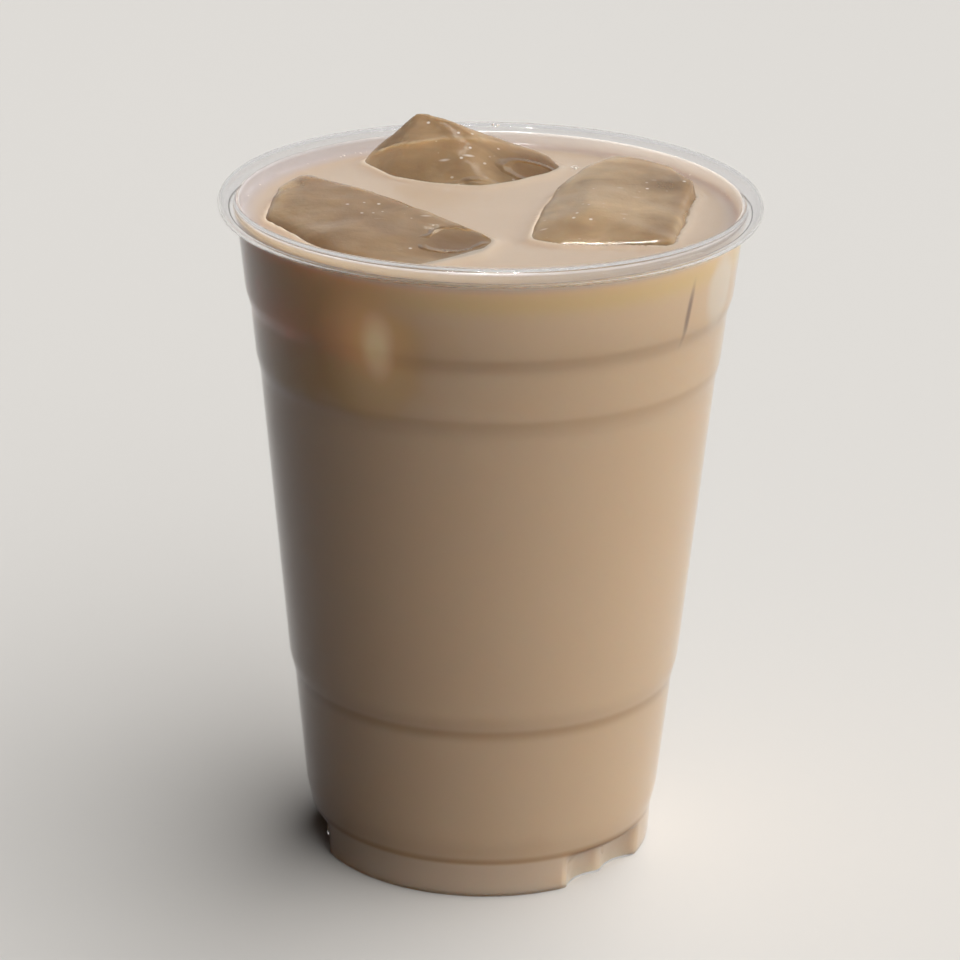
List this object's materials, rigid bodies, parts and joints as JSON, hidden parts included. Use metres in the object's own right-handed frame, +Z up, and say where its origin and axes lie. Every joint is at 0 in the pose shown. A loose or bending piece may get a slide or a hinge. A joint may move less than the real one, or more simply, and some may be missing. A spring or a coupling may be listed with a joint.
{
  "type": "iced chai latte",
  "caption": "Iced chai latte in a clear tapered plastic cup with a rolled lip, stepped wall and fluted foot; blocks of ice break the surface.",
  "frame": {"origin": "centre of the ring that the cup stands on, at table level", "axes": "+Z up along the cup's axis, +X to the right, -Y is the front"},
  "size_m": [0.095, 0.095, 0.1285],
  "materials": {
    "clear_plastic": "clear colourless vacuum-formed plastic, glossy, slightly uneven in thickness",
    "milk_tea": "opaque milky tea, smooth wet surface with a paler milky film and a few small bubbles at the edge",
    "ice": "wet melting ice, translucent, tinted by the milky tea round it"
  },
  "bodies": {
    "root": {"cup": "clear_plastic", "drink": "milk_tea", "ice_left": "ice", "ice_back": "ice", "ice_right": "ice"}
  },
  "joints": []
}
